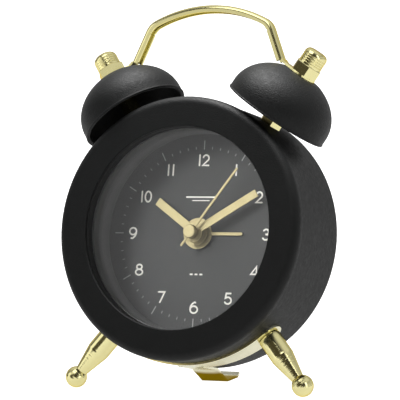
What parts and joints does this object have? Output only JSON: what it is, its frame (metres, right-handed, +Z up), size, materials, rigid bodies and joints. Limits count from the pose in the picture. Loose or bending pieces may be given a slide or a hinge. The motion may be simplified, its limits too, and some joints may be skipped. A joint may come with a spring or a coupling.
{
  "type": "alarm clock",
  "caption": "Small twin-bell analogue alarm clock with a round case, brass arched handle, ball feet and a rear prop, leaning back.",
  "frame": {"origin": "on the floor under the middle of the clock", "axes": "+X to the clock's right as seen from the front, -Y towards the viewer, +Z up; the case leans back by 14.5 degrees"},
  "size_m": [0.071, 0.0426, 0.0983],
  "materials": {
    "black_paint": "matte powder coat with a fine grain",
    "brass": "polished, with fine turning and rolling lines",
    "steel": "zinc plated",
    "lens": "clear and polished",
    "seal_rubber": "matt",
    "black_plastic": "fine moulded texture",
    "knob_plastic": "moulded, lightly polished",
    "dial_black": "matt with printed pale marks",
    "gold_hands": "satin pale gold",
    "movement_plastic": "natural moulded",
    "wheel_plastic": "natural moulded",
    "magnet": "plastic-bonded ferrite",
    "copper": "enamelled wire",
    "board_green": "solder mask",
    "battery_wrap": "plain printed sleeve"
  },
  "bodies": {
    "case": {"alarm_contact": "steel", "back_cover": "black_plastic", "back_screws": "steel", "battery": "battery_wrap", "bell_left": "black_paint", "bell_lock_nut_left": "steel", "bell_lock_nut_right": "steel", "bell_post_left": "steel", "bell_post_right": "steel", "bell_right": "black_paint", "bell_spacer_left": "brass", "bell_spacer_right": "brass", "bezel": "black_paint", "buzzer": "black_plastic", "cap_nut_left": "brass", "cap_nut_right": "brass", "case_drum": "black_paint", "circuit_board": "board_green", "coil": "copper", "collar_nut_left": "brass", "collar_nut_right": "brass", "contact_negative": "steel", "contact_positive": "steel", "dial": "dial_black", "dial_ring": "black_plastic", "foot_left": "brass", "foot_lock_nut_left": "steel", "foot_lock_nut_right": "steel", "foot_right": "brass", "handle": "brass", "lens": "lens", "lens_seal": "seal_rubber", "movement_base": "movement_plastic", "movement_cover": "movement_plastic", "quartz_crystal": "steel", "stand_strap": "brass", "stator": "steel", "train_bridge": "movement_plastic"},
    "second": {"second_hand": "gold_hands", "second_wheel": "wheel_plastic"},
    "minute": {"minute_hand": "gold_hands", "centre_wheel": "wheel_plastic"},
    "hour": {"hour_hand": "gold_hands", "hour_wheel": "wheel_plastic"},
    "minute_wheel": {"minute_wheel": "wheel_plastic"},
    "third_wheel": {"third_wheel": "wheel_plastic"},
    "step_wheel": {"step_wheel": "wheel_plastic"},
    "rotor": {"rotor_pinion": "steel", "rotor_magnet": "magnet"},
    "time_knob": {"time_knob": "knob_plastic"},
    "alarm": {"alarm_hand": "gold_hands", "alarm_wheel": "wheel_plastic"},
    "alarm_knob": {"alarm_knob": "knob_plastic"},
    "alarm_switch": {"alarm_switch": "black_plastic"},
    "battery_door": {"battery_door": "black_plastic"}
  },
  "joints": [
    {"name": "second_turn", "type": "hinge", "parent": "case", "child": "second", "pos_m": [0, 0.00033, 0.03961], "axis": [0, 0.9681, -0.2504], "continuous": true},
    {"name": "third_turn", "type": "hinge", "parent": "case", "child": "third_wheel", "pos_m": [-0.00521, 0.00142, 0.04384], "axis": [0, 0.9681, -0.2504], "continuous": true},
    {"name": "minute_turn", "type": "hinge", "parent": "case", "child": "minute", "pos_m": [0, 0.00033, 0.03961], "axis": [0, 0.9681, -0.2504], "continuous": true},
    {"name": "motion_turn", "type": "hinge", "parent": "case", "child": "minute_wheel", "pos_m": [0.00479, 0.00123, 0.0431], "axis": [0, 0.9681, -0.2504], "continuous": true},
    {"name": "hour_turn", "type": "hinge", "parent": "case", "child": "hour", "pos_m": [0, 0.00033, 0.03961], "axis": [0, 0.9681, -0.2504], "continuous": true},
    {"name": "time_knob_turn", "type": "hinge", "parent": "case", "child": "time_knob", "pos_m": [0.00999, 0.00198, 0.04601], "axis": [0, 0.9681, -0.2504], "continuous": true},
    {"name": "step_turn", "type": "hinge", "parent": "case", "child": "step_wheel", "pos_m": [0.0047, -0.0001, 0.03795], "axis": [0, 0.9681, -0.2504], "continuous": true},
    {"name": "rotor_turn", "type": "hinge", "parent": "case", "child": "rotor", "pos_m": [0.00944, 0.00007, 0.0386], "axis": [0, 0.9681, -0.2504], "continuous": true},
    {"name": "alarm_turn", "type": "hinge", "parent": "case", "child": "alarm", "pos_m": [0, 0.00033, 0.03961], "axis": [0, 0.9681, -0.2504], "continuous": true},
    {"name": "alarm_knob_turn", "type": "hinge", "parent": "case", "child": "alarm_knob", "pos_m": [-0.0065, -0.00061, 0.03598], "axis": [0, 0.9681, -0.2504], "continuous": true},
    {"name": "alarm_switch_slide", "type": "slide", "parent": "case", "child": "alarm_switch", "axis": [1, 0, 0], "range_m": [0, 0.004]},
    {"name": "battery_door_lift", "type": "slide", "parent": "case", "child": "battery_door", "axis": [0, 0.9681, -0.2504], "range_m": [0, 0.03]}
  ],
  "couplings": [
    {"joint": "third_turn", "follows": "second_turn", "ratio": -0.13333},
    {"joint": "minute_turn", "follows": "second_turn", "ratio": 0.016667},
    {"joint": "motion_turn", "follows": "second_turn", "ratio": -0.0055556},
    {"joint": "hour_turn", "follows": "second_turn", "ratio": 0.0013889},
    {"joint": "time_knob_turn", "follows": "second_turn", "ratio": 0.016667},
    {"joint": "step_turn", "follows": "second_turn", "ratio": -3},
    {"joint": "rotor_turn", "follows": "second_turn", "ratio": 30},
    {"joint": "alarm_knob_turn", "follows": "alarm_turn", "ratio": -2}
  ]
}
